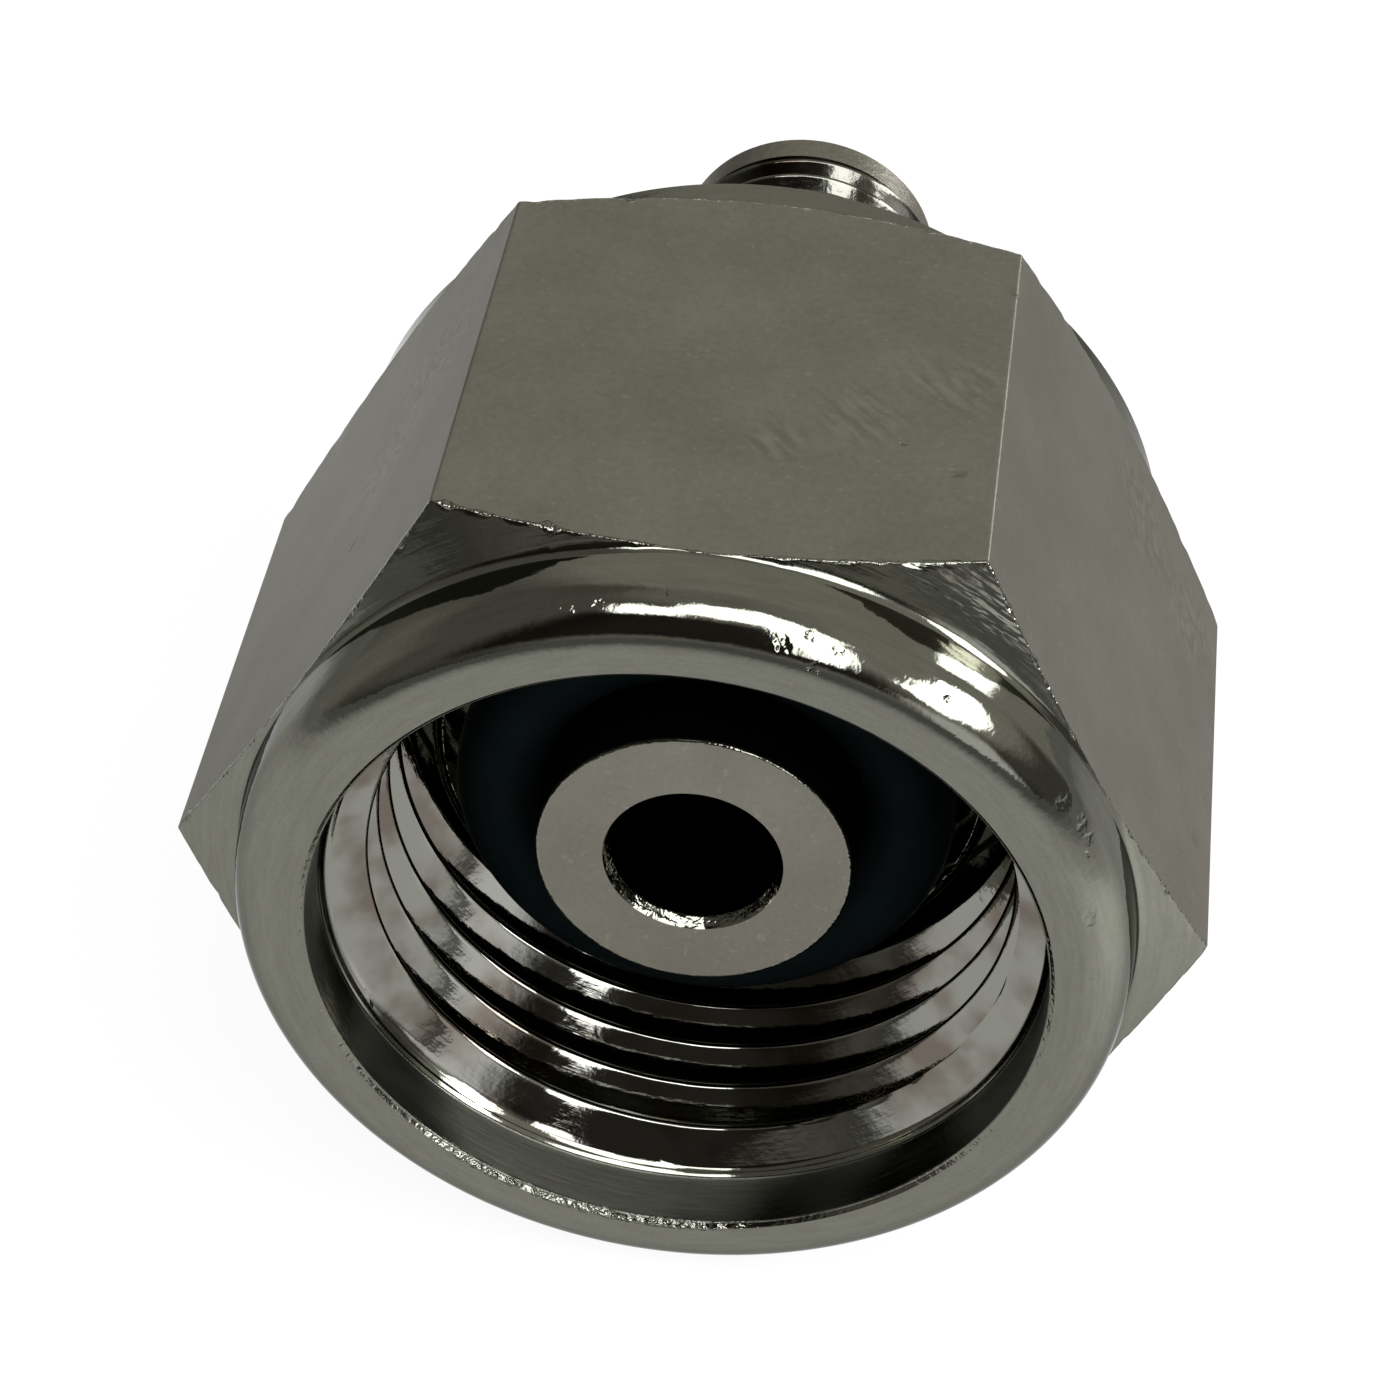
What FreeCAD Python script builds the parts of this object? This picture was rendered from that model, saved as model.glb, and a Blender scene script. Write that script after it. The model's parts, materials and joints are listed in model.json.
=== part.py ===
import FreeCAD, Part
import os
from math import cos, pi, radians, sin, tan
from FreeCAD import Vector

# Gas regulator adapter, in millimetres: a union nut that swivels on a nipple, with a seal ring
# round the nipple's nose. The common axis is Y. The mouth of the nut is at Y = 0 and faces -Y,
# the nipple's threaded tail points to +Y, and the nut lies on one of its six flats.

# Nut, turned from hexagon bar
across_flats = 27.0
nut_length = 22.0
bar_edge_radius = 0.2         # of the drawn bar's six long edges
collar_step = 0.06            # how far the turned collars stay below the flats
front_collar_length = 2.6
front_edge_radius = 1.6
front_root_radius = 0.35      # hollow that the tool's nose leaves between collar and cone
front_shoulder_angle = 24.0   # of the turned cone, measured from the plane of the mouth's face
back_collar_length = 1.6
back_edge_chamfer = 0.5
back_shoulder_angle = 33.0

# Gas cylinder thread inside the nut, 21.8 mm with 14 turns to the inch, Whitworth form.
# The solid has the bore at the crests of the thread.
cylinder_thread_diameter = 21.8
cylinder_thread_pitch = 25.4 / 14
whitworth_depth = 0.6403      # depth of the thread as a share of its pitch
mouth_clearance = 0.1
mouth_depth = 2.0
lead_in_angle = 30.0          # of the cone behind the mouth, measured from the plane of its face
cylinder_thread_length = 9.2
relief_clearance = 0.2        # radial, past the roots of the thread, from its end to the seat
back_wall = 7.6
hole_edge_break = 0.3

# Nipple
shank_diameter = 10.0
swivel_clearance = 0.06       # radial, between the shank and the nut's back hole
seat_gap = 0.05               # axial, between the flange and its seat in the nut
flange_clearance = 0.84       # radial, between the flange and the crests of the cylinder thread
flange_thickness = 5.0
flange_edge_break = 0.4
nose_diameter = 9.7
nose_length = 4.7
nose_edge_break = 0.12
gas_bore_diameter = 5.0
gas_bore_chamfer_width = 0.25
gas_bore_chamfer_depth = 0.36
tail_length = 16.85           # past the back of the nut

# Outlet thread on the tail, M10 x 1, left as a plain cylinder at the crests, and the plain
# pilot past its end, which finds the hole that the thread screws into
tail_thread_diameter = 9.8
tail_thread_length = 10.4
pilot_diameter = 9.3
pilot_length = 1.6
pilot_end_chamfer = 0.25
undercut_diameter = 8.5
undercut_width = 1.5

# Seal ring
ring_section = 2.9
ring_gap = 0.03               # between the ring and the nose or the flange

# Worked out from the sizes above
collar_radius = across_flats / 2 - collar_step
corner_radius = across_flats / 2 / cos(radians(30))
cylinder_thread_crest = cylinder_thread_diameter / 2 - whitworth_depth * cylinder_thread_pitch
mouth_radius = cylinder_thread_diameter / 2 + mouth_clearance
relief_y = mouth_depth + cylinder_thread_length
relief_radius = cylinder_thread_diameter / 2 + relief_clearance
seat_y = nut_length - back_wall
hole_radius = shank_diameter / 2 + swivel_clearance
flange_back_y = seat_y - seat_gap
flange_front_y = flange_back_y - flange_thickness
flange_radius = cylinder_thread_crest - flange_clearance
nose_face_y = flange_front_y - nose_length
tail_end_y = nut_length + tail_length
tail_thread_end = tail_end_y - pilot_length
tail_thread_start = tail_thread_end - tail_thread_length


def at(radius, y):
    """The point of a profile at a distance from the axis and a place along it."""
    return Vector(radius, y, 0)


def line(start, end):
    return Part.LineSegment(at(*start), at(*end)).toShape()


def outline(points):
    """Straight edges through the points, in order."""
    return [line(start, end) for start, end in zip(points, points[1:])]


def rounded(centre, radius, start_degrees, end_degrees):
    """A round edge or hollow of the profile about its centre, from one direction to the other."""
    middle_degrees = (start_degrees + end_degrees) / 2
    place = [
        at(centre[0] + radius * cos(radians(degrees)), centre[1] + radius * sin(radians(degrees)))
        for degrees in (start_degrees, middle_degrees, end_degrees)
    ]
    return Part.Arc(*place).toShape()


def turned(edges):
    """The solid that a closed profile sweeps when it turns about the axis."""
    profile = Part.Face(Part.Wire(edges))
    return profile.revolve(Vector(0, 0, 0), Vector(0, 1, 0), 360)


def hexagon_bar():
    """The bar that the nut is made from, with a flat at the bottom and one at the top."""
    corners = [
        Vector(corner_radius * cos(corner * pi / 3), 0, corner_radius * sin(corner * pi / 3))
        for corner in range(7)
    ]
    bar = Part.Face(Part.makePolygon(corners)).extrude(Vector(0, nut_length, 0))
    long_edges = [edge for edge in bar.Edges if abs(edge.tangentAt(0).y) > 0.5]
    return bar.makeFillet(bar_edge_radius, long_edges)


def turned_outside():
    """What the lathe leaves of the bar: a collar at each end, and a cone up to the corners."""
    past_corners = corner_radius + 1
    rise = past_corners - collar_radius
    front_cone_end = front_collar_length + rise * tan(radians(front_shoulder_angle))
    back_collar_start = nut_length - back_collar_length
    back_cone_start = back_collar_start - rise * tan(radians(back_shoulder_angle))
    front_round = (collar_radius - front_edge_radius, front_edge_radius)
    root_turn = 90 - front_shoulder_angle
    root_place = front_collar_length - front_root_radius * tan(radians(root_turn / 2))
    root_centre = (collar_radius + front_root_radius, root_place)
    root_end_direction = 180 - root_turn
    root_end = (
        root_centre[0] + front_root_radius * cos(radians(root_end_direction)),
        root_centre[1] + front_root_radius * sin(radians(root_end_direction)),
    )
    edges = [line((0, 0), (front_round[0], 0))]
    edges.append(rounded(front_round, front_edge_radius, -90, 0))
    edges.append(line((collar_radius, front_round[1]), (collar_radius, root_place)))
    edges.append(rounded(root_centre, front_root_radius, 180, root_end_direction))
    edges += outline([
        root_end,
        (past_corners, front_cone_end),
        (past_corners, back_cone_start),
        (collar_radius, back_collar_start),
        (collar_radius, nut_length - back_edge_chamfer),
        (collar_radius - back_edge_chamfer, nut_length),
        (0, nut_length),
        (0, 0),
    ])
    return turned(edges)


def nut_inside():
    """The space in the nut: mouth, lead-in, thread bore, relief up to the seat, and back hole."""
    lead_in_length = (mouth_radius - cylinder_thread_crest) * tan(radians(lead_in_angle))
    return turned(outline([
        (0, 0),
        (mouth_radius, 0),
        (mouth_radius, mouth_depth),
        (cylinder_thread_crest, mouth_depth + lead_in_length),
        (cylinder_thread_crest, relief_y),
        (relief_radius, relief_y),
        (relief_radius, seat_y),
        (hole_radius + hole_edge_break, seat_y),
        (hole_radius, seat_y + hole_edge_break),
        (hole_radius, nut_length - hole_edge_break),
        (hole_radius + hole_edge_break, nut_length),
        (0, nut_length),
        (0, 0),
    ]))


def union_nut():
    """The hexagon nut, with its mouth in front and a hole for the nipple's shank behind."""
    return hexagon_bar().common(turned_outside()).cut(nut_inside())


def nipple():
    """Nose, flange, shank and threaded tail in one turned piece, with the gas bore through it."""
    bore_radius = gas_bore_diameter / 2
    bore_mouth = bore_radius + gas_bore_chamfer_width
    nose_radius = nose_diameter / 2
    shank_radius = shank_diameter / 2
    tail_radius = tail_thread_diameter / 2
    pilot_radius = pilot_diameter / 2
    undercut_radius = undercut_diameter / 2
    undercut_start = tail_thread_start - undercut_width
    undercut_slope = shank_radius - undercut_radius
    return turned(outline([
        (bore_mouth, nose_face_y),
        (nose_radius - nose_edge_break, nose_face_y),
        (nose_radius, nose_face_y + nose_edge_break),
        (nose_radius, flange_front_y),
        (flange_radius - flange_edge_break, flange_front_y),
        (flange_radius, flange_front_y + flange_edge_break),
        (flange_radius, flange_back_y - flange_edge_break),
        (flange_radius - flange_edge_break, flange_back_y),
        (shank_radius, flange_back_y),
        (shank_radius, undercut_start - undercut_slope),
        (undercut_radius, undercut_start),
        (undercut_radius, tail_thread_start - (tail_radius - undercut_radius)),
        (tail_radius, tail_thread_start),
        (tail_radius, tail_thread_end - (tail_radius - pilot_radius)),
        (pilot_radius, tail_thread_end),
        (pilot_radius, tail_end_y - pilot_end_chamfer),
        (pilot_radius - pilot_end_chamfer, tail_end_y),
        (bore_mouth, tail_end_y),
        (bore_radius, tail_end_y - gas_bore_chamfer_depth),
        (bore_radius, nose_face_y + gas_bore_chamfer_depth),
        (bore_mouth, nose_face_y),
    ]))


def seal_ring():
    """The round rubber ring that lies round the nose, against the flange."""
    section_radius = ring_section / 2
    ring_radius = nose_diameter / 2 + ring_gap + section_radius
    centre = Vector(0, flange_front_y - ring_gap - section_radius, 0)
    return Part.makeTorus(ring_radius, section_radius, centre, Vector(0, 1, 0))


os.makedirs("parts", exist_ok=True)
union_nut().exportStep("parts/union_nut.step")
nipple().exportStep("parts/nipple.step")
seal_ring().exportStep("parts/seal_ring.step")
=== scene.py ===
import json
from collections import namedtuple
from math import cos, pi, radians, sin, tan

import bmesh
import bpy
import numpy as np
from mathutils import Matrix, Vector


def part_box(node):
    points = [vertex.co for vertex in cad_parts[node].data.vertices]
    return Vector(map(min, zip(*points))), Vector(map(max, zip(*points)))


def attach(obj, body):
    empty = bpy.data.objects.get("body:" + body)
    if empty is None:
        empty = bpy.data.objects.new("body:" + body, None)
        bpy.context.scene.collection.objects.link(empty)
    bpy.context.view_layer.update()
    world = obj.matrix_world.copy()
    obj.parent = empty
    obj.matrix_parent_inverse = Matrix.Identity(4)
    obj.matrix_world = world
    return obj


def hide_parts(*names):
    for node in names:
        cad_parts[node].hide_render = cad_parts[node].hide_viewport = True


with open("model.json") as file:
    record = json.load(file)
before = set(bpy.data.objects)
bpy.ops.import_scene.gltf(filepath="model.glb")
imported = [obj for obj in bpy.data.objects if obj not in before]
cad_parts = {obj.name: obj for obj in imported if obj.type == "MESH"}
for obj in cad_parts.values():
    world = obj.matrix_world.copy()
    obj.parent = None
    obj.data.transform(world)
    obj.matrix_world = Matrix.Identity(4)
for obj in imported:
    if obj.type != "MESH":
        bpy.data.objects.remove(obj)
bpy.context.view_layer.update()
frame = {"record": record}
mounts = {mount["name"]: mount for mount in frame["record"]["mounts"]}

# Union nut. Drawn brass hexagon bar, faced and turned to a round collar at each end, bored, and
# threaded inside for a gas cylinder's valve, then nickel plated. It is held by the nipple's flange
# and lies on one of its six flats.
MM = 0.001                      # every size is in millimetres, every mesh in metres
nut_low, nut_high = (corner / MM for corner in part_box("union_nut"))
across_flats = nut_high.z - nut_low.z
nut_length = nut_high.y
collar_step = 0.06              # the collars are turned this much below the flats
collar_radius = across_flats / 2 - collar_step
front_collar_length = 2.6
front_edge_radius = 1.6
collar_taper = 0.09             # how much slimmer the front collar is at its rounded edge
front_collar_pairs = (          # (how much slimmer, place) from the rounded edge to the full size
    (0.081, 1.55), (0.056, 1.75), (0.038, 1.95), (0.015, 2.25))
front_root_radius = 0.35        # hollow that the tool's nose leaves between collar and cone
front_slope = tan(radians(24))  # of the cone, from the plane of the mouth
back_collar_length = 1.6
back_edge_chamfer = 0.5
back_root_radius = 0.1
back_slope = tan(radians(33))
hex_edge_radius = 0.08          # the drawn bar's long edges, dressed nearly sharp
mouth_radius = mounts["cylinder_socket"]["dims"]["r_mm"]
mouth_depth = mounts["cylinder_socket"]["dims"]["length_mm"]
cylinder_pitch = 25.4 / 14
cylinder_depth = 0.6403 * cylinder_pitch
cylinder_crest = 21.8 / 2 - cylinder_depth
cylinder_thread_end = 11.2
cylinder_crest_place = 3.05     # along the axis, of a crest straight below it
rim_width = 0.16                # of the small bevel round the mouth
lead_in_bevel = (10.78, 2.28)   # radius and place, where the mouth's bevel meets the lead-in cone
mouth_bevel_pairs = (           # (radius, place) from the lead-in cone to the mouth's wall
    lead_in_bevel, (10.84, 2.21), (10.875, 2.13), (10.9, 2.07), (10.93, 2.03))
lead_in_slope = tan(radians(30))
relief_radius = 11.1
seat = 14.4
back_hole_radius = 5.06
hole_edge_break = 0.3
knocked_side = radians(-104)    # direction of the mouth's lower left, where its rim has been knocked
knocked_reach = radians(29)     # to either side of it
crease = radians(40)            # a mesh's edge that turns more than this is drawn sharp
MILLED, TURNED, THREADED = range(3)
Ring = namedtuple("Ring", "points edge thread finish")


def hexagon_columns(steps=36, crowding=1.45):
    """Directions round the axis, closer together near the six corners, ending where they began."""
    off = 30 * (np.arange(steps) / steps) ** crowding
    one_corner = np.concatenate([-off[:0:-1], off, [30]])
    turns = np.concatenate([one_corner + 60 * corner for corner in range(6)])
    return np.radians(np.append(turns, turns[0] + 360))


def hexagon_radius(turn):
    """Distance from the axis to the bar's surface, with its six long edges slightly rounded."""
    off = np.abs((turn + pi / 6) % (pi / 3) - pi / 6)
    centre = (across_flats / 2 - hex_edge_radius) / cos(pi / 6)
    reach = np.arctan(hex_edge_radius / 2 / (centre + hex_edge_radius * cos(pi / 6)))
    inside = np.clip(hex_edge_radius ** 2 - (centre * np.sin(off)) ** 2, 0, None)
    edge = centre * np.cos(off) + np.sqrt(inside)
    return np.where(off < reach, edge, across_flats / 2 / np.cos(pi / 6 - off))


def cone_rise(radius, slope, root_radius):
    """How far past the collar's root the cone is at a radius, with the hollow left at its root."""
    out = np.maximum(radius - collar_radius, 0)
    turn = pi / 2 - np.arctan(slope)
    hollow = np.sqrt(np.maximum(root_radius ** 2 - (root_radius - out) ** 2, 0))
    in_hollow = out < root_radius * (1 - cos(turn))
    return np.where(in_hollow, hollow - root_radius * tan(turn / 2), out * slope)


def rubbed(turn):
    """How far the cones' upper edges are rubbed round, which is uneven on the way round."""
    uneven = np.sin(turn * 41) + np.sin(turn * 67 + 1) + np.sin(turn * 103 + 2)
    return 0.03 + 0.05 * np.clip(uneven, 0, None) ** 1.5


def shoulder(turn, slope, root_radius):
    """(radius, rise) pairs up a cone from its root, and the pairs over its rubbed edge to the flat."""
    flat = hexagon_radius(turn)
    rub = rubbed(turn) * np.clip((flat - collar_radius) / 0.5, 0.15, 1)
    top = cone_rise(flat, slope, root_radius)
    below = flat - 0.9 * rub
    climb = [collar_radius + (below - collar_radius) * s ** 2 for s in np.linspace(0, 1, 15)]
    cone = [(radius, cone_rise(radius, slope, root_radius)) for radius in climb]
    edge = []
    for s in np.linspace(0, 1, 6)[1:]:
        radius = (1 - s) ** 2 * below + (1 - (1 - s) ** 2) * flat
        edge.append((radius, (1 - s) ** 2 * cone[-1][1] + 2 * s * (1 - s) * top + s ** 2 * (top + rub)))
    return cone, edge


def rings(turn, pairs, finish, edge=0.0, thread=0.0):
    """Rings of points about the axis from (radius, place) pairs, with their marks for the cutters."""
    made = []
    for radius, place in pairs:
        along = np.broadcast_to(place, turn.shape)
        points = np.column_stack([radius * np.cos(turn), along, radius * np.sin(turn)]) * MM
        made.append(Ring(points, np.broadcast_to(edge, turn.shape), thread, finish))
    return made


def arc(centre, radius, start, end, steps):
    """(radius, place) pairs round an edge, from one direction in degrees to another."""
    directions = np.radians(np.linspace(start, end, steps + 1))
    return [(centre[0] + radius * cos(d), centre[1] + radius * sin(d)) for d in directions]


def line(start, end, steps):
    """(radius, place) pairs along a straight stretch, both ends included."""
    shares = np.linspace(0, 1, steps + 1)
    return [(start[0] + (end[0] - start[0]) * s, start[1] + (end[1] - start[1]) * s) for s in shares]


def helix_rings(turn, start, end, pitch, crest_place, blank):
    """Rings that climb with a right-hand thread, crowded at its crests, and stop flat at both ends."""
    half = np.array([0, 0.03, 0.05, 0.07, 0.1, 0.16, 0.23, 0.3, 0.37, 0.43])
    phases = np.concatenate([half, [0.5], 1 - half[:0:-1]])
    turns = range(int((start - crest_place) // pitch), int((end - crest_place) // pitch) + 3)
    made = []
    for climb in (number + phase for number in turns for phase in phases):
        place = crest_place + pitch * (climb - turn / (2 * pi) - 0.25)
        place = np.clip(place, start, end)
        made += rings(turn, [(blank(place), place)], THREADED, thread=1.0)
    return made


def skin(name, chain):
    """A closed mesh over a chain of rings that comes back to its first ring."""
    width = len(chain[0].points)
    starts = np.arange(len(chain)) * width
    here = starts[:, None] + np.arange(width - 1)
    over = np.roll(starts, -1)[:, None] + np.arange(width - 1)
    faces = np.stack([here, here + 1, over + 1, over], axis=2).reshape(-1, 4)
    mesh = bpy.data.meshes.new(name)
    mesh.from_pydata(np.concatenate([ring.points for ring in chain]).tolist(), [], faces.tolist())
    marks = {
        "edge": np.concatenate([ring.edge for ring in chain]),
        "thread": np.repeat([ring.thread for ring in chain], width),
    }
    for mark, values in marks.items():
        mesh.attributes.new(mark, "FLOAT", "POINT").data.foreach_set("value", values)
    finishes = np.repeat([ring.finish for ring in chain], width - 1)
    mesh.attributes.new("finish", "INT", "FACE").data.foreach_set("value", finishes)
    piece = bpy.data.objects.new(name, mesh)
    bpy.context.collection.objects.link(piece)
    return piece


def chipped(turn):
    """How rough the mouth's rim is, most at its lower left, where it has been knocked."""
    near = np.cos(turn - knocked_side) - cos(knocked_reach)
    return 0.3 + 2.0 * np.clip(near * 12, 0, 1)


def nut_outside(turn):
    """The nut's outside, from the rim of the mouth over the collars, cones and flats to the back."""
    flat = hexagon_radius(turn)
    front_round = (collar_radius - collar_taper - front_edge_radius, front_edge_radius)
    collar = [(collar_radius - slimmer, place) for slimmer, place in front_collar_pairs]
    bevel_start = (collar_radius, nut_length - back_edge_chamfer)
    bevel_end = (collar_radius - back_edge_chamfer, nut_length)
    back_start = nut_length - back_collar_length
    front_cone, front_edge = shoulder(turn, front_slope, front_root_radius)
    back_cone, back_edge = shoulder(turn, back_slope, back_root_radius)
    front_flat = front_collar_length + front_edge[-1][1] + 0.05
    back_flat = back_start - back_edge[-1][1] - 0.05

    def ahead(pairs):
        return [(radius, front_collar_length + rise) for radius, rise in pairs]

    def behind(pairs):
        return [(radius, back_start - rise) for radius, rise in pairs[::-1]]

    rim_end = mouth_radius + rim_width
    chain = rings(turn, line((mouth_radius, rim_width), (rim_end, 0), 3), TURNED, chipped(turn))
    chain += rings(turn, line((rim_end + 0.1, 0), (front_round[0] - 0.05, 0), 4), TURNED, 0.1)
    chain += rings(turn, arc(front_round, front_edge_radius, -90, -9, 24), TURNED, 0.03)
    chain += rings(turn, collar, TURNED)
    chain += rings(turn, ahead(front_cone), TURNED)
    chain += rings(turn, ahead(front_edge), TURNED, 1.0)
    chain += rings(turn, line((flat, front_flat), (flat, back_flat), 12), MILLED, 0.08)
    chain += rings(turn, behind(back_edge), TURNED, 1.0)
    chain += rings(turn, behind(back_cone), TURNED)
    chain += rings(turn, line(bevel_start, bevel_end, 4), TURNED, 0.1)
    return chain


def nut_inside(turn):
    """The nut's inside, from the back hole over the seat and the relief to the threaded mouth."""
    hole = back_hole_radius
    wide = hole + hole_edge_break
    face_end = collar_radius - back_edge_chamfer - 0.34
    throat, lead_in = lead_in_bevel

    def blank(place):
        return np.maximum(cylinder_crest, throat - (place - lead_in) / lead_in_slope)

    chain = rings(turn, line((face_end, nut_length), (wide, nut_length), 4), TURNED)
    hole_wall = line((hole, nut_length - hole_edge_break), (hole, seat + hole_edge_break), 6)
    chain += rings(turn, hole_wall, TURNED)
    chain += rings(turn, line((wide, seat), (relief_radius - 0.05, seat), 4), TURNED)
    relief_wall = line((relief_radius, seat - 0.05), (relief_radius, cylinder_thread_end), 3)
    chain += rings(turn, relief_wall, TURNED)
    chain += helix_rings(
        turn, lead_in + 0.02, cylinder_thread_end, cylinder_pitch, cylinder_crest_place, blank
    )[::-1]
    chain += rings(turn, mouth_bevel_pairs, TURNED)
    chain += rings(turn, [(mouth_radius - 0.01, mouth_depth - 0.05)], TURNED)
    chain += rings(turn, line((mouth_radius, mouth_depth - 0.1), (mouth_radius, 0.25), 7), TURNED)
    return chain


class Wire:
    """An output of a node. Arithmetic on it adds Math nodes to the same tree."""

    def __init__(self, tree, socket=None):
        self.tree = tree
        self.socket = socket

    def node(self, kind, settings=None, inputs=None, output=0):
        """Add a node: its settings first, then the values or links of its sockets."""
        made = self.tree.nodes.new(kind)
        for name, value in (settings or {}).items():
            if name == "stops":
                while len(made.color_ramp.elements) < len(value):
                    made.color_ramp.elements.new(1)
                for element, (place, colour) in zip(made.color_ramp.elements, value):
                    element.position = place
                    element.color = (*colour, 1)
            else:
                setattr(made, name, value)
        for key, value in (inputs or {}).items():
            if isinstance(value, Wire):
                self.tree.links.new(value.socket, made.inputs[key])
            else:
                made.inputs[key].default_value = value
        return Wire(self.tree, made.outputs[output])

    def other(self, output):
        """Another output of the same node."""
        return Wire(self.tree, self.socket.node.outputs[output])

    def math(self, operation, *values):
        return self.node("ShaderNodeMath", {"operation": operation}, dict(enumerate(values)))

    def __add__(self, value):
        return self.math("ADD", self, value)

    def __sub__(self, value):
        return self.math("SUBTRACT", self, value)

    def __rsub__(self, value):
        return self.math("SUBTRACT", value, self)

    def __mul__(self, value):
        return self.math("MULTIPLY", self, value)

    def __truediv__(self, value):
        return self.math("DIVIDE", self, value)

    def __rtruediv__(self, value):
        return self.math("DIVIDE", value, self)

    def __abs__(self):
        return self.math("ABSOLUTE", self)

    __radd__ = __add__
    __rmul__ = __mul__


def machining_tree():
    """Cuts the thread, knocks the edges about and gives each surface its finish."""
    tree = bpy.data.node_groups.new("machining", "GeometryNodeTree")
    tree.is_modifier = True
    tree.interface.new_socket("Blank", in_out="INPUT", socket_type="NodeSocketGeometry")
    for name in ("Pitch", "Depth", "Crest Radius", "Crest Place", "Crest Width", "Root Width",
                 "Wear", "Wear Grain", "Seed"):
        tree.interface.new_socket(name, in_out="INPUT", socket_type="NodeSocketFloat")
    for name in ("Milled", "Turned", "Threaded"):
        tree.interface.new_socket(name, in_out="INPUT", socket_type="NodeSocketMaterial")
    tree.interface.new_socket("Piece", in_out="OUTPUT", socket_type="NodeSocketGeometry")
    soft_crest, soft_root = 0.13, 0.16      # how far the thread's corners are rounded, of its depth
    plan = Wire(tree)
    given = plan.node("NodeGroupInput")

    def mark(name):
        return plan.node("GeometryNodeInputNamedAttribute", {"data_type": "FLOAT"}, {"Name": name})

    spot = plan.node("ShaderNodeSeparateXYZ", {}, {0: plan.node("GeometryNodeInputPosition")})
    x, y, z = spot, spot.other("Y"), spot.other("Z")
    radius = plan.math("SQRT", x * x + z * z)
    climb = (y - given.other("Crest Place")) / given.other("Pitch")
    climb = climb + plan.math("ARCTAN2", z, x) / (2 * pi) + 0.25
    away = abs(plan.math("FRACT", climb) - 0.5) * 2
    width = 1 - given.other("Crest Width") - given.other("Root Width")
    flank = (away - given.other("Root Width")) / width
    below_crest = plan.math("SMOOTH_MIN", flank, 1.0, soft_crest)
    height = plan.math("SMOOTH_MAX", below_crest, 0.0, soft_root)
    side = plan.math("SIGN", given.other("Depth"))
    cut = given.other("Crest Radius") + given.other("Depth") * (1 - height)
    cut = side * plan.math("MAXIMUM", side * radius, side * cut)
    scale = 1 + mark("thread") * (cut / radius - 1)
    place = plan.node("ShaderNodeCombineXYZ", {}, {"X": x * scale, "Y": y, "Z": z * scale})
    threaded = plan.node(
        "GeometryNodeSetPosition", {}, {"Geometry": given.other("Blank"), "Position": place}
    )
    seed = given.other("Seed")
    rough = plan.node("ShaderNodeTexNoise", {"noise_dimensions": "4D"}, {
        "W": seed, "Scale": 1 / given.other("Wear Grain"), "Detail": 3.0})
    knocks = plan.node("ShaderNodeTexNoise", {"noise_dimensions": "4D"}, {
        "W": seed + 7, "Scale": 0.3 / given.other("Wear Grain"), "Detail": 1.0})
    dents = plan.math("MAXIMUM", knocks - 0.62, 0.0) * 6
    push = (rough * 2 - 1 - dents) * given.other("Wear") * mark("edge")
    offset = plan.node("ShaderNodeVectorMath", {"operation": "SCALE"}, {
        0: plan.node("GeometryNodeInputNormal"), "Scale": push})
    worn = plan.node("GeometryNodeSetPosition", {}, {"Geometry": threaded, "Offset": offset})
    piece = plan.node("GeometryNodeMergeByDistance", {}, {"Geometry": worn, "Distance": 1e-6})
    piece = plan.node("GeometryNodeRealizeInstances", {}, {"Geometry": piece})
    finish = plan.node("GeometryNodeInputNamedAttribute", {"data_type": "INT"}, {"Name": "finish"})
    for number, name in enumerate(("Milled", "Turned", "Threaded")):
        chosen = plan.node("FunctionNodeCompare", {"data_type": "INT", "operation": "EQUAL"}, {
            "A": finish, "B": number})
        piece = plan.node("GeometryNodeSetMaterial", {}, {
            "Geometry": piece, "Selection": chosen, "Material": given.other(name)})
    tree.nodes.new("NodeGroupOutput")
    tree.links.new(piece.socket, tree.nodes[-1].inputs["Piece"])
    return tree


def machine(piece, **sizes):
    """Run the machining on a blank, with its inputs by name, and leave a plain closed mesh."""
    modifier = piece.modifiers.new("machining", "NODES")
    modifier.node_group = machining
    for item in machining.interface.items_tree:
        name = item.name.lower().replace(" ", "_")
        if item.in_out == "INPUT" and name in sizes:
            modifier[item.identifier] = sizes[name]
    bpy.context.view_layer.update()
    depsgraph = bpy.context.evaluated_depsgraph_get()
    done = bpy.data.meshes.new_from_object(piece.evaluated_get(depsgraph), depsgraph=depsgraph)
    piece.modifiers.clear()
    piece.data = done
    shape = bmesh.new()
    shape.from_mesh(done)
    bmesh.ops.dissolve_degenerate(shape, dist=1e-7, edges=shape.edges)
    bmesh.ops.recalc_face_normals(shape, faces=shape.faces)
    if shape.calc_volume(signed=True) < 0:
        bmesh.ops.reverse_faces(shape, faces=shape.faces)
    shape.to_mesh(done)
    shape.free()
    done.shade_smooth()
    done.set_sharp_from_angle(angle=crease)
    for mark in ("thread", "finish"):
        if mark in done.attributes:
            done.attributes.remove(done.attributes[mark])


def new_material(name):
    """A material with only its surface shader, and the wire to plan it with."""
    material = bpy.data.materials.new(name)
    material.use_nodes = True
    material.node_tree.nodes.clear()
    plan = Wire(material.node_tree)
    place = plan.node("ShaderNodeTexCoord").other("Object")
    return material, plan, place


def finish_material(plan, shader):
    """Join the surface shader to the material's output."""
    out = plan.tree.nodes.new("ShaderNodeOutputMaterial")
    plan.tree.links.new(shader.socket, out.inputs["Surface"])


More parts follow.
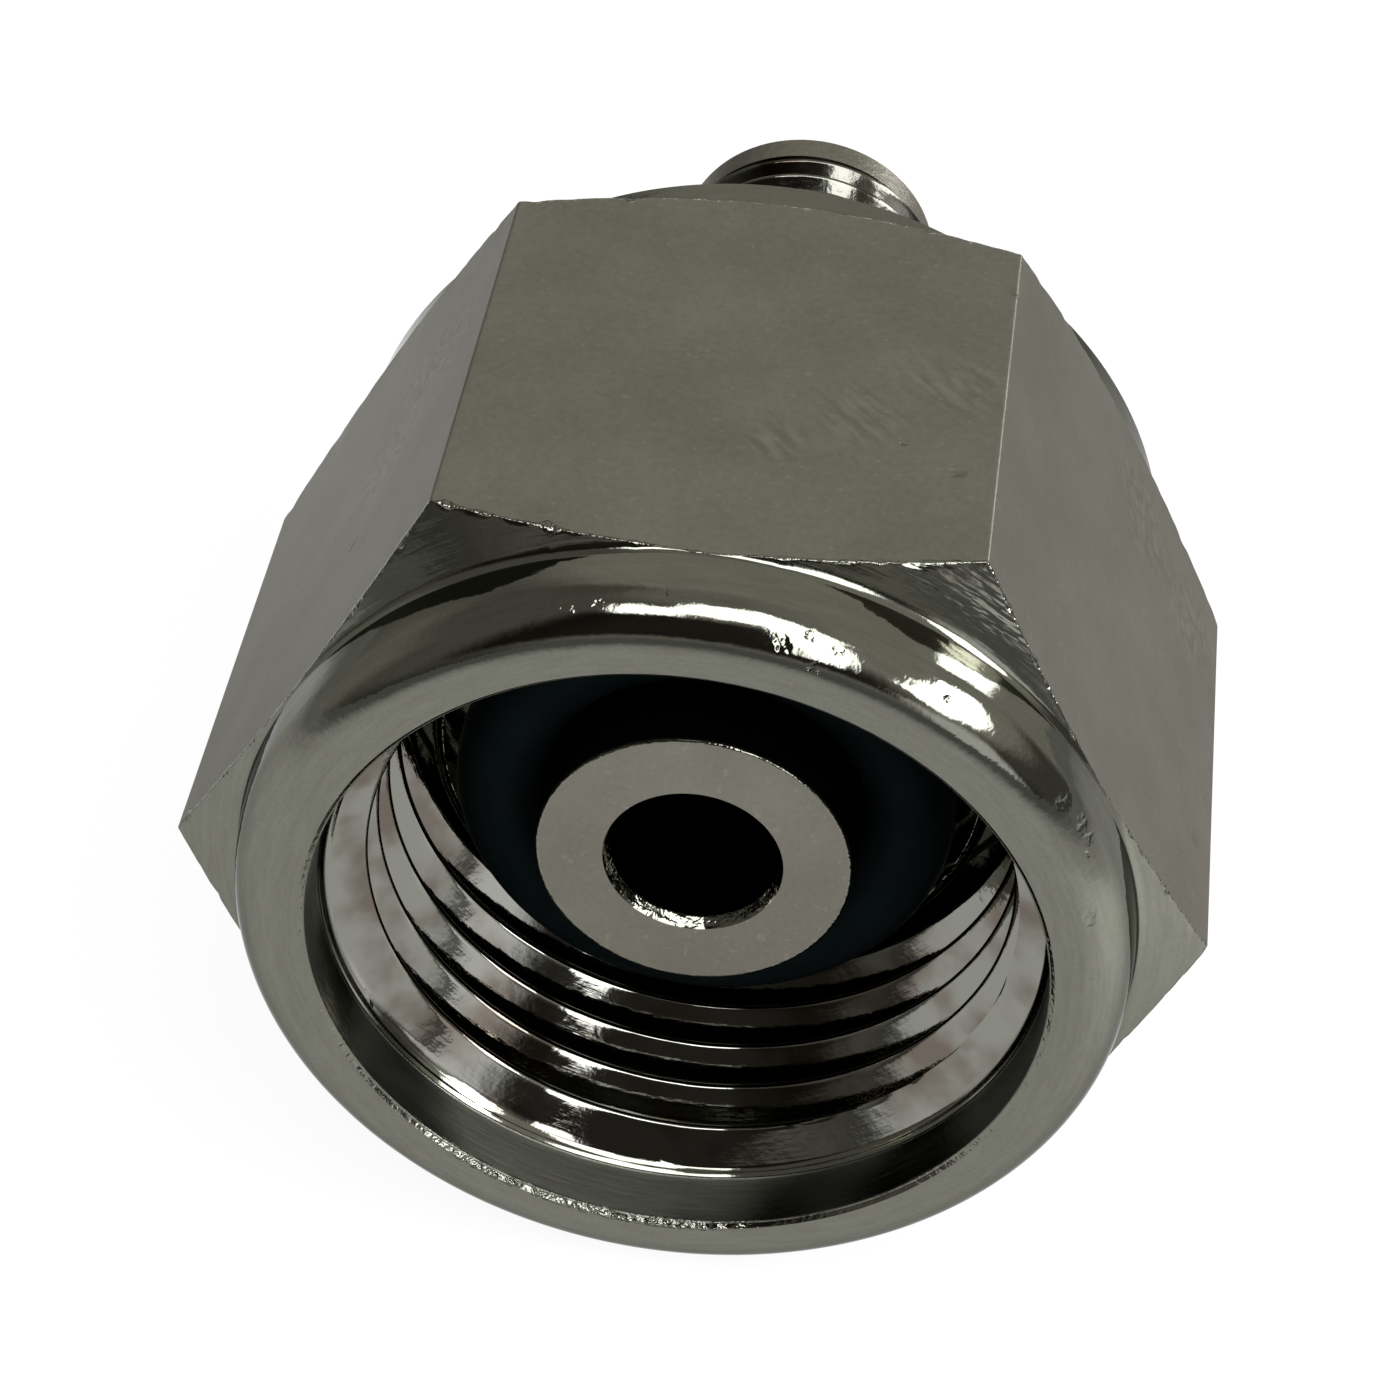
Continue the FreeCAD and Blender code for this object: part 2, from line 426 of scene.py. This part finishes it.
def noise(plan, vector, size, detail=2.0, roughness=0.5, w=None):
    """Noise from 0 to 1 with features of a size in millimetres."""
    settings = {"noise_dimensions": "4D" if w is not None else "3D"}
    inputs = {"Vector": vector, "Scale": 1 / (size * MM), "Detail": detail, "Roughness": roughness}
    if w is not None:
        inputs["W"] = w
    return plan.node("ShaderNodeTexNoise", settings, inputs)


def step_between(plan, value, low, high):
    """0 below low, 1 above high, and smooth between them."""
    return plan.node("ShaderNodeMapRange", {"interpolation_type": "SMOOTHSTEP"}, {
        "Value": value, "From Min": low, "From Max": high})


def two_colours(plan, share, first, second):
    """The first colour where the share is 0 and the second where it is 1; each may be a wire."""
    first, second = (
        colour if isinstance(colour, Wire) else (*colour, 1) for colour in (first, second)
    )
    return plan.node("ShaderNodeMix", {"data_type": "RGBA"}, {
        "Factor": share, 6: first, 7: second}, output=2)


def plating(plan, colour, roughness, normal):
    """Nickel over brass, which brightens only half as much as pure metal where it is seen edge on."""
    return plan.node("ShaderNodeBsdfPrincipled", {}, {
        "Base Color": colour, "Roughness": roughness, "Metallic": 1.0, "Normal": normal,
        "Specular Tint": (0.5, 0.5, 0.5, 1)})


def bump(plan, height, microns, normal=None):
    """Relief from a height of 0 to 1, that many thousandths of a millimetre deep."""
    inputs = {"Height": height, "Distance": microns * 1e-6, "Strength": 1.0}
    if normal is not None:
        inputs["Normal"] = normal
    return plan.node("ShaderNodeBump", {}, inputs)


def dents(plan, place, spots):
    """1 in the middle of small ragged dents, each a place and a radius in millimetres, and 0 beside."""
    raggedness = 0.25
    ragged = plan.node("ShaderNodeTexNoise", {}, {
        "Vector": place, "Scale": 1 / (raggedness * MM), "Detail": 1.0}, output="Color")
    shifted = plan.node("ShaderNodeVectorMath", {"operation": "MULTIPLY_ADD"}, {
        0: ragged, 1: (2 * raggedness * MM,) * 3, 2: place})
    shifted = plan.node("ShaderNodeVectorMath", {"operation": "SUBTRACT"}, {
        0: shifted, 1: (raggedness * MM,) * 3})
    nearest = 1.0
    for centre, radius in spots:
        away = plan.node("ShaderNodeVectorMath", {"operation": "DISTANCE"}, {
            0: shifted, 1: Vector(centre) * MM}, output=1)
        nearest = plan.math("MINIMUM", away / (radius * MM), nearest)
    return 1 - step_between(plan, nearest, 0.0, 1.0)


def knocked_edges(plan, place, normal):
    """Small burrs and knocks along the edges, as strong as the mesh's mark says."""
    mark = plan.node("ShaderNodeAttribute", {"attribute_name": "edge"}, output="Fac")
    knocks = step_between(plan, noise(plan, place, 0.3, 2.0, 0.6), 0.35, 0.65)
    return bump(plan, knocks * mark, 30.0, normal)


def milled_plating():
    """Satin plating on the bar's drawn flats: fine grain, pits, short ripples in patches and their
    painted shade.
    """
    material, plan, place = new_material("plated_flats")
    cloud = noise(plan, place, 3.2, 3.0)
    grain = noise(plan, place, 0.2, 3.0, 0.6)
    specks = step_between(plan, noise(plan, place, 0.3, 1.0), 0.66, 0.76)
    drawn = plan.node("ShaderNodeMapping", {"vector_type": "TEXTURE"}, {
        "Vector": place, "Rotation": (0.0, 0.0, radians(-48)), "Scale": (4.0, 1.0, 1.0)})
    ripples = noise(plan, drawn, 0.3, 1.0)
    patch = dents(plan, place, (
        ((1.2, 8.2, 13.5), 1.6), ((3.6, 9.8, 13.5), 2.2), ((6.2, 11.8, 13.5), 2.2),
        ((12.6, 17.4, 5.2), 3.0), ((14.4, 16.6, 2.0), 3.0),
        ((-9.5, 14.5, 10.6), 3.5), ((-10.5, 11.5, 8.8), 3.0),
    ))
    ripples = (ripples - 0.5) * patch
    pits = dents(plan, place, (
        ((6.7, 7.44, 13.5), 0.3), ((7.86, 16.84, 13.5), 0.35), ((5.05, 8.6, 13.5), 0.15),
        ((14.97, 7.0, 1.07), 0.35), ((14.74, 6.86, 1.5), 0.2), ((-10.9, 7.87, 8.13), 0.3),
    ))
    # the ripples also lighten and darken the colour here: painted shading of their ridges
    shade = cloud * 0.5 + grain * 0.4 + specks * 0.25 + ripples * 1.6 - pits
    shade = step_between(plan, shade, 0.15, 0.8)
    colour = two_colours(plan, shade, (0.155, 0.148, 0.121), (0.215, 0.208, 0.177))
    roughness = 0.36 + grain * 0.12
    normal = bump(plan, grain * 0.5 + specks * 0.6, 3.0)
    normal = bump(plan, ripples - pits * 2, 14.0, normal)
    normal = knocked_edges(plan, place, normal)
    finish_material(plan, plating(plan, colour, roughness, normal))
    return material


def round_place(plan, place):
    """Distance from the axis, place along it, and the direction round it as a cosine and a sine."""
    spot = plan.node("ShaderNodeSeparateXYZ", {}, {0: place})
    x, y, z = spot, spot.other("Y"), spot.other("Z")
    radius = plan.math("SQRT", x * x + z * z)
    return radius, y, x / radius, z / radius


def ring_noise(plan, place, size, length):
    """Noise of tool marks round the axis, with their width and length in millimetres."""
    radius, along, across, up = round_place(plan, place)
    squeeze = size / length * 13 * MM
    drawn_out = plan.node("ShaderNodeCombineXYZ", {}, {"X": radius, "Y": along, "Z": across * squeeze})
    return noise(plan, drawn_out, size, 2.0, 0.55, w=up * squeeze)


def turned_plating():
    """Bright plating: polished on collars, over tool rings on cones, duller in and round the mouth."""
    material, plan, place = new_material("plated_turning")
    radius, along, across, up = round_place(plan, place)
    on_cones = step_between(plan, radius, (collar_radius + 0.03) * MM, (collar_radius + 0.2) * MM)
    on_wall = 1 - step_between(plan, abs(radius - mouth_radius * MM), 0.02 * MM, 0.05 * MM)
    at_corner = step_between(plan, across, 0.32, 0.42) * step_between(plan, up, 0.0, 0.3)
    far_out = step_between(plan, radius, (collar_radius + 0.3) * MM, (collar_radius + 1.1) * MM)
    at_corner = at_corner * far_out
    on_face = 1 - step_between(plan, along, 0.0, 0.06 * MM)
    rings_fine = ring_noise(plan, place, 0.12, 1.5)
    rings_wide = ring_noise(plan, place, 0.27, 1.3)
    bands = ring_noise(plan, place, 0.5, 18.0)
    waves = noise(plan, place, 0.35, 3.0)
    swell = noise(plan, place, 1.4, 1.0)
    grain = noise(plan, place, 0.12, 2.0)
    wall_cloud = step_between(plan, noise(plan, place, 6.0, 1.0), 0.32, 0.6)
    nicks = dents(plan, place, (
        ((-3.39, 0.63, 12.67), 0.22), ((-2.6, 0.65, 12.87), 0.2), ((-0.84, 1.0, 13.3), 0.2),
        ((2.47, 0.25, 12.45), 0.3), ((3.24, 0.57, 12.65), 0.25), ((4.04, 0.45, 12.3), 0.2),
        ((7.12, 0.62, 11.01), 0.18), ((10.66, 0.62, 7.62), 0.3), ((11.31, 0.72, 6.76), 0.35),
        ((11.55, 0.74, 6.36), 0.25), ((11.54, 0.51, 6.0), 0.2), ((11.88, 0.14, 3.84), 0.3),
        ((-10.53, 0.0, 7.44), 0.3), ((-11.08, 0.0, 2.91), 0.3), ((-11.24, 0.0, 1.46), 0.35),
        ((3.46, 0.0, 11.88), 0.25), ((12.16, 0.0, 1.59), 0.35),
    ))
    shade = rings_fine * 0.4 + rings_wide * 0.3 + grain * 0.3
    shade = step_between(plan, shade, 0.25, 0.75)
    colour = two_colours(plan, shade, (0.136, 0.136, 0.112), (0.176, 0.177, 0.152))
    roughness = 0.04 + rings_wide * 0.04 + on_cones * 0.04
    roughness = roughness + on_wall * (wall_cloud * 0.34 + 0.12) + on_face * 0.16
    normal = bump(plan, rings_fine * (on_cones * 0.25 + on_wall + 0.03), 12.0)
    normal = bump(plan, rings_wide * on_cones * (at_corner + 0.06), 60.0, normal)
    normal = bump(plan, bands * (on_cones + on_wall), 10.0, normal)
    normal = bump(plan, waves * 0.4 + swell, 9.0, normal)
    normal = bump(plan, 1 - nicks, 22.0, normal)
    normal = knocked_edges(plan, place, normal)
    finish_material(plan, plating(plan, colour, roughness, normal))
    return material


def threaded_plating(name, dark, light, dullness, unevenness):
    """Plating over thread flanks, which the tool leaves smoother than the faces, stained in places."""
    material, plan, place = new_material(name)
    rings_fine = ring_noise(plan, place, 0.1, 1.5)
    waves = noise(plan, place, 0.5, 3.0)
    stain = noise(plan, place, 2.5, 3.0)
    colour = two_colours(plan, step_between(plan, stain, 0.3, 0.55), dark, light)
    roughness = dullness + waves * 0.05
    normal = bump(plan, rings_fine, 2.0)
    normal = bump(plan, waves, unevenness, normal)
    finish_material(plan, plating(plan, colour, roughness, normal))
    return material


machining = machining_tree()
plated_flats = milled_plating()
plated_turning = turned_plating()
plated_thread = threaded_plating(
    "plated_thread", (0.13, 0.112, 0.093), (0.215, 0.215, 0.193), dullness=0.03, unevenness=7.0
)
columns = hexagon_columns()
nut = skin("nut", nut_outside(columns) + nut_inside(columns))
machine(
    nut, pitch=cylinder_pitch * MM, depth=cylinder_depth * MM, crest_radius=cylinder_crest * MM,
    crest_place=cylinder_crest_place * MM, crest_width=0.1, root_width=0.08,
    wear=0.018 * MM, wear_grain=0.35 * MM, seed=3.0,
    milled=plated_flats, turned=plated_turning, threaded=plated_thread,
)
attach(nut, "nut")
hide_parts("union_nut")

# Nipple. One piece of brass bar turned to a nose, a flange, a shank and a tail, drilled through for
# the gas, with a 1 mm thread on the tail, and nickel plated. It is pushed through the nut from the
# mouth, until its flange lies on the nut's seat.
nipple_low, nipple_high = (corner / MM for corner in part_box("nipple"))
nose_face = nipple_low.y
tail_end = nipple_high.y
flange_radius = nipple_high.x
flange_back = 14.35
flange_front = 9.35
flange_break = 0.4
nose_radius = 4.85
nose_break = 0.12
bore_radius = mounts["gas_bore"]["dims"]["r_mm"]
bore_mouth = 0.25               # width of the chamfer round the bore
bore_mouth_depth = 0.36
shank_radius = 5.0
tail_crest = mounts["outlet_thread"]["dims"]["r_mm"]
tail_pitch = 1.0
tail_depth = 0.6
tail_crest_place = 27.35        # along the axis, of a crest straight below it
tail_thread_start = 26.85
tail_thread_end = 37.5
pilot_radius = 4.65
pilot_end_chamfer = 0.25
undercut_radius = 4.25
undercut_start = 25.35


def nipple_skin(turn):
    """The nipple's whole surface, from the nose over the flange to the tail and back in its bore."""
    mouth = bore_radius + bore_mouth
    nose_flat = nose_radius - nose_break
    flange_flat = flange_radius - flange_break
    nose_edge = arc((nose_flat, nose_face + nose_break), nose_break, -90, 0, 6)
    front_edge = arc((flange_flat, flange_front + flange_break), flange_break, -90, 0, 6)
    back_edge = arc((flange_flat, flange_back - flange_break), flange_break, 0, 90, 6)
    undercut_end = tail_thread_start - (tail_crest - undercut_radius)
    shank_end = undercut_start - (shank_radius - undercut_radius)
    pilot_end = tail_end - pilot_end_chamfer

    def blank(place):
        rise = undercut_radius + (place - undercut_end)
        fall = pilot_radius + (tail_thread_end - place)
        return np.minimum(tail_crest, np.minimum(rise, fall))

    def across(place, start, end, steps):
        return line((start, place), (end, place), steps)

    def along(radius, start, end, steps):
        return line((radius, start), (radius, end), steps)

    pilot_flat = pilot_radius - pilot_end_chamfer
    lip = line((bore_radius, nose_face + bore_mouth_depth), (mouth, nose_face), 5)
    bore_ends = (tail_end - bore_mouth_depth, nose_face + bore_mouth_depth + 0.06)
    chain = rings(turn, across(nose_face, mouth + 0.01, nose_flat - 0.05, 5), MILLED, 0.1)
    chain += rings(turn, nose_edge, TURNED, 0.4)
    chain += rings(turn, along(nose_radius, nose_face + 0.2, flange_front - 0.02, 6), TURNED)
    chain += rings(turn, across(flange_front, nose_radius + 0.02, flange_flat - 0.02, 4), TURNED)
    chain += rings(turn, front_edge, TURNED, 0.3)
    chain += rings(turn, back_edge, TURNED, 0.3)
    chain += rings(turn, across(flange_back, flange_flat - 0.02, shank_radius + 0.02, 3), TURNED)
    chain += rings(turn, along(shank_radius, flange_back + 0.02, shank_end, 8), TURNED)
    chain += rings(turn, along(undercut_radius, undercut_start, undercut_end, 3), TURNED)
    chain += helix_rings(
        turn, undercut_end + 0.02, tail_thread_end - 0.02, tail_pitch, tail_crest_place, blank
    )
    chain += rings(turn, along(pilot_radius, tail_thread_end, pilot_end, 5), MILLED, 0.3)
    chain += rings(turn, across(tail_end, pilot_flat, mouth, 3), TURNED, 0.3)
    chain += rings(turn, along(bore_radius, *bore_ends, 12), TURNED)
    chain += rings(turn, lip[:-1], TURNED, 0.35)
    return chain


tail_plating = threaded_plating(
    "plated_tail", (0.05, 0.04, 0.032), (0.13, 0.13, 0.112), dullness=0.08, unevenness=14.0
)
even_columns = np.linspace(0, 2 * pi, 241)
nipple = skin("nipple_turned", nipple_skin(even_columns))
machine(
    nipple, pitch=tail_pitch * MM, depth=-tail_depth * MM, crest_radius=tail_crest * MM,
    crest_place=tail_crest_place * MM, crest_width=0.12, root_width=0.1,
    wear=0.012 * MM, wear_grain=0.25 * MM, seed=11.0,
    milled=plated_flats, turned=plated_turning, threaded=tail_plating,
)
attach(nipple, "stem")
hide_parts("nipple")

# Seal ring. A moulded nitrile rubber ring with the thin line of its mould's joint round the crown.
# It is stretched over the nipple's nose and pushed back against the flange.
ring_low, ring_high = (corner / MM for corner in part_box("seal_ring"))
section_radius = (ring_high.y - ring_low.y) / 2
ring_centre = (ring_high.x - section_radius, (ring_high.y + ring_low.y) / 2)
flash_height = 0.02


def rubber():
    """Black nitrile rubber, slightly oily, with a faint cold sheen and fine dust."""
    material, plan, place = new_material("nitrile_rubber")
    dust = step_between(plan, noise(plan, place, 0.25, 3.0), 0.62, 0.8)
    cloud = noise(plan, place, 1.6, 2.0)
    colour = two_colours(plan, cloud * 0.6 + dust * 0.5, (0.002, 0.003, 0.003), (0.005, 0.008, 0.009))
    normal = bump(plan, noise(plan, place, 0.15, 3.0), 2.0)
    shader = plan.node("ShaderNodeBsdfPrincipled", {}, {
        "Base Color": colour, "Roughness": 0.3 + cloud * 0.12, "Normal": normal,
        "Specular IOR Level": 0.009, "Specular Tint": (0.45, 0.9, 1.0, 1)})
    finish_material(plan, shader)
    return material


def ring_section(steps=48):
    """(radius, place) pairs round the ring's section, with the mould's line at its crown."""
    pairs = []
    for number in range(steps):
        direction = 2 * pi * number / steps
        flash = flash_height if number in (steps * 3 // 4, steps // 4) else 0.0
        reach = section_radius - flash_height + flash
        pairs.append((ring_centre[0] + reach * cos(direction), ring_centre[1] + reach * sin(direction)))
    return pairs


seal = skin("rubber_ring", rings(even_columns, ring_section(), TURNED))
machine(
    seal, pitch=MM, depth=MM, crest_radius=MM, crest_place=0.0, crest_width=0.1, root_width=0.1,
    wear=0.0, wear_grain=MM, seed=0.0, turned=rubber(),
)
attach(seal, "stem")
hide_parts("seal_ring")

# Table. A white table top with painted light, which the nut lies on, wide enough to fill the view.
table_height = nut_low.z - 0.01
table_half = 3000.0             # half its width
left_painted_pool_place = (-45.0, 70.0, table_height)   # middles of two painted pools of light on the table
right_painted_pool_place = (48.0, -5.0, table_height)


def table_finish():
    """White to the camera; the plating sees two painted pools of light, and painted shade in front and
    far off.
    """
    material, plan, place = new_material("white_table")
    spot = plan.node("ShaderNodeSeparateXYZ", {}, {0: place})
    x, y = spot, spot.other("Y")
    far = step_between(plan, plan.math("SQRT", x * x + y * y), 35 * MM, 220 * MM)
    front = step_between(plan, y * -1, 50 * MM, 160 * MM)

    def pool(centre, start, end):
        """1 in the middle of a painted pool of light, and 0 beyond its end."""
        away = plan.node("ShaderNodeVectorMath", {"operation": "DISTANCE"}, {
            0: place, 1: Vector(centre) * MM}, output=1)
        return 1 - step_between(plan, away, start * MM, end * MM)

    # painted light seen in the plating: two pools, and painted shade far off and in front
    pools = pool(right_painted_pool_place, 6, 36) * 0.7 + pool(left_painted_pool_place, 10, 50) * 0.7
    light = (1.08 - far * 0.68) * (1 - front * 0.5) + pools
    ray = plan.node("ShaderNodeLightPath")
    in_gloss = plan.math("MAXIMUM", ray.other("Is Glossy Ray"), ray.other("Is Transmission Ray"))
    light = 1 + in_gloss * (light * 1.05 - 1)
    colour = two_colours(plan, light * 0.5, (0, 0, 0), (2, 2, 2))
    lit = plan.node("ShaderNodeBsdfDiffuse", {}, {"Color": (0.82, 0.82, 0.82, 1)})
    bright = plan.node("ShaderNodeEmission", {}, {"Color": colour, "Strength": 1.0})
    share = plan.math("MAXIMUM", in_gloss, ray.other("Is Camera Ray")) * 0.93
    finish_material(plan, plan.node("ShaderNodeMixShader", {}, {0: share, 1: lit, 2: bright}))
    return material


table_mesh = bpy.data.meshes.new("table")
table_corners = [
    Vector((x * table_half, y * table_half, table_height)) * MM
    for x, y in ((-1, -1), (1, -1), (1, 1), (-1, 1))
]
table_mesh.from_pydata(table_corners, [], [(0, 1, 2, 3)])
table_mesh.materials.append(table_finish())
table = bpy.data.objects.new("table", table_mesh)
bpy.context.collection.objects.link(table)

# Room. Pale walls, darker at the left and in front, where the mouth looks, with a wide lamp overhead
# in front, a long window at the right, brightest in its upper part and with a glow below it, and a
# smaller one behind it. Directions are in degrees: a bearing from straight in front of the mouth,
# growing to the right, and a height over the horizon.
world = bpy.data.worlds.new("room")
world.use_nodes = True
world.node_tree.nodes.clear()
sky = Wire(world.node_tree)
toward = sky.node("ShaderNodeSeparateXYZ", {}, {0: sky.node("ShaderNodeTexCoord")})
bearing = sky.math("DEGREES", sky.math("ARCTAN2", toward, toward.other("Y") * -1))
height = sky.math("DEGREES", sky.math("ARCSINE", toward.other("Z")))


def between(value, low, high, soft):
    """1 between two limits and 0 outside them, with soft borders."""
    inside = step_between(sky, value, low - soft, low + soft)
    return inside * (1 - step_between(sky, value, high - soft, high + soft))


lamp = between(bearing, -22, 58, 3) * between(height, 55, 79, 2)
lamp_left = between(bearing, -33 - (height - 52) * 1.2, -10, 3) * between(height, 49, 65, 2)
lamp_right = between(bearing, 12 + (height - 20) * 0.15, 30 + (height - 32) * 0.9, 1.5)
lamp_right = lamp_right * between(height, 18, 58, 2)
lamp = sky.math("MAXIMUM", lamp, sky.math("MAXIMUM", lamp_left, lamp_right))
past_right = sky.math("MAXIMUM", bearing - 80, 0)
past_left = sky.math("MAXIMUM", 60 - bearing, 0)
window_top = 40 - past_right * past_right * 0.012 - past_left * 0.5
window = between(bearing, 38, 106, 1) * between(height, 15.5 + (bearing - 33) * 0.19, window_top, 1)
behind_top = 29.5 - (bearing - 131) * 0.6
behind_foot = 19 - (bearing - 127) * 0.95
window_behind = between(bearing, 128, 148, 1) * between(height, behind_foot, behind_top, 1)
low_left = between(bearing, -132, -78, 10) * (1 - step_between(sky, height, 16, 34))
light = 1 - (0.64 - low_left * 0.3) * between(bearing, -142, -22, 10) * between(height, -8, 72, 8)
light = light * (1 - 0.6 * between(bearing, -162, -138, 6) * between(height, -2, 20, 6))
light = light * (1 - 0.95 * between(bearing, -42, 32, 10) * between(height, 7, 50, 5))
light = light * (1 - 0.6 * between(bearing, -70, 60, 12) * between(height, -20, 4, 5))
light = light * (1 - 0.76 * between(bearing, 44, 118, 8) * between(height, -8, 15, 5))
light = light * (1 - 0.3 * step_between(sky, height, 60, 85))
room = two_colours(sky, light, (0.02, 0.015, 0.01), (0.72, 0.715, 0.655))
glow = between(bearing, 26, 50, 4) * between(height, -1, 13, 4)
brightest = between(bearing, 68, 96, 2) * between(height, 31, 39, 1)
for opening, radiance in ((glow, 1.7), (lamp, 8), (window, 8), (window_behind, 8), (brightest, 40)):
    room = two_colours(sky, opening, room, (radiance, radiance, radiance * 1.02))
sky_ray = sky.node("ShaderNodeLightPath")
white = sky.math("MAXIMUM", sky_ray.other("Is Camera Ray"), sky_ray.other("Is Transmission Ray"))
room = two_colours(sky, white, room, (1, 1, 1))
room_light = sky.node("ShaderNodeBackground", {}, {"Color": room, "Strength": 1.0})
world_out = world.node_tree.nodes.new("ShaderNodeOutputWorld")
world.node_tree.links.new(room_light.socket, world_out.inputs["Surface"])
bpy.context.scene.world = world

# Camera. A long lens a little to the right, in front of the mouth and above it.
camera_place = Vector((7.305, -78.791, 77.386))
camera_aim = Vector((-0.642, 11.361, 0.727))
camera_roll = radians(3.217)
camera_data = bpy.data.cameras.new("camera")
camera_data.lens = 96.96
camera_data.sensor_width = 36.0
camera_data.clip_start = 0.01
camera = bpy.data.objects.new("camera", camera_data)
aim = (camera_aim - camera_place).to_track_quat("-Z", "Y").to_matrix().to_4x4()
camera.matrix_world = Matrix.Translation(camera_place * MM) @ aim @ Matrix.Rotation(camera_roll, 4, "Z")
bpy.context.collection.objects.link(camera)
bpy.context.scene.camera = camera
bpy.context.scene.view_settings.view_transform = "Standard"
